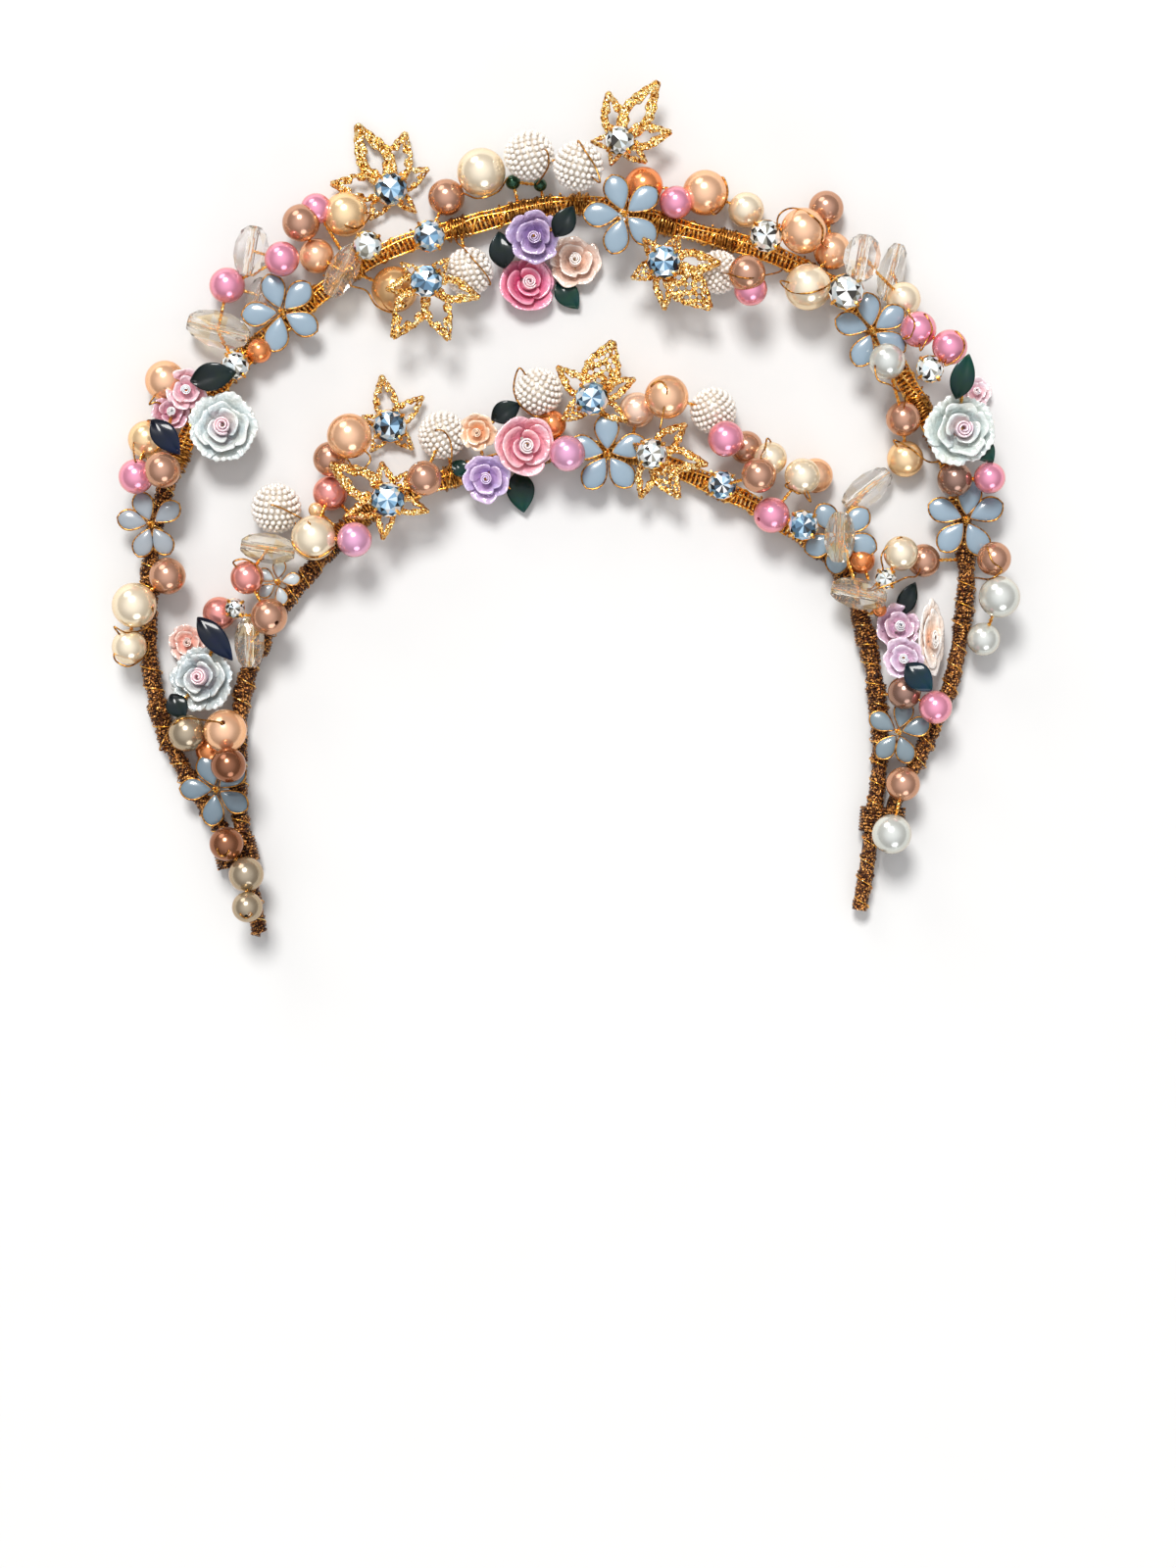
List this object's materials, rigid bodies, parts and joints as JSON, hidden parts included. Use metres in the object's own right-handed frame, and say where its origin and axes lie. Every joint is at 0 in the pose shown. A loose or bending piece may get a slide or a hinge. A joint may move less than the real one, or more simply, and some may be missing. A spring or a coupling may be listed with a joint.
{
  "type": "headband",
  "caption": "Double-arch headband of wound wire set with pearls, glass drops, enamel flowers, pierced leaves and ceramic roses. The lower arch sits over the wearer's head.",
  "frame": {"origin": "middle of the bounding box in plan, at the level of the table the headband lies on", "axes": "+X to the right of the front view, +Y from the open ends towards the top of the arches, +Z out of the front"},
  "size_m": [0.2012, 0.1905, 0.0212],
  "materials": {
    "wound_cord": "metallic thread and gilt wire, glittering",
    "pearl": "nacre-coated beads in cream, peach, pink and bronze, with clear and champagne glass drops and stones among them",
    "seed_pearl": "seed pearls in rings round gilt beads",
    "enamel": "glossy grey-blue enamel in thin gilt rims",
    "gilt_filigree": "polished gilt openwork",
    "glazed_ceramic": "pearly pink, lilac and grey glaze, with dark green glazed leaves"
  },
  "bodies": {
    "root": {"outer_band": "wound_cord", "inner_band": "wound_cord", "end_binding_left": "wound_cord", "end_binding_right": "wound_cord", "outer_spray_1": "pearl", "outer_spray_2": "pearl", "outer_spray_3": "pearl", "outer_spray_4": "pearl", "outer_spray_5": "pearl", "outer_spray_6": "pearl", "outer_spray_7": "pearl", "outer_spray_8": "pearl", "outer_spray_9": "pearl", "outer_spray_10": "pearl", "outer_spray_11": "pearl", "outer_spray_12": "pearl", "inner_spray_1": "pearl", "inner_spray_2": "pearl", "inner_spray_3": "pearl", "inner_spray_4": "pearl", "inner_spray_5": "pearl", "inner_spray_6": "pearl", "inner_spray_7": "pearl", "inner_spray_8": "pearl", "inner_spray_9": "pearl", "inner_spray_10": "pearl", "inner_spray_11": "pearl", "inner_spray_12": "pearl", "inner_spray_13": "pearl", "inner_spray_14": "pearl", "beaded_pair_crown": "seed_pearl", "beaded_ball_outer": "seed_pearl", "beaded_ball_left": "seed_pearl", "beaded_ball_inner": "seed_pearl", "outer_flower_1": "enamel", "outer_flower_2": "enamel", "outer_flower_3": "enamel", "outer_flower_4": "enamel", "outer_flower_5": "enamel", "inner_flower_1": "enamel", "inner_flower_2": "enamel", "inner_flower_3": "enamel", "inner_flower_4": "enamel", "inner_flower_5": "enamel", "outer_leaf_1": "gilt_filigree", "outer_leaf_2": "gilt_filigree", "outer_leaf_3": "gilt_filigree", "outer_leaf_4": "gilt_filigree", "inner_leaf_1": "gilt_filigree", "inner_leaf_2": "gilt_filigree", "inner_leaf_3": "gilt_filigree", "inner_leaf_4": "gilt_filigree", "roses_outer_left": "glazed_ceramic", "roses_outer_centre": "glazed_ceramic", "roses_outer_right": "glazed_ceramic", "roses_inner_left": "glazed_ceramic", "roses_inner_centre": "glazed_ceramic", "roses_inner_right": "glazed_ceramic"}
  },
  "joints": []
}
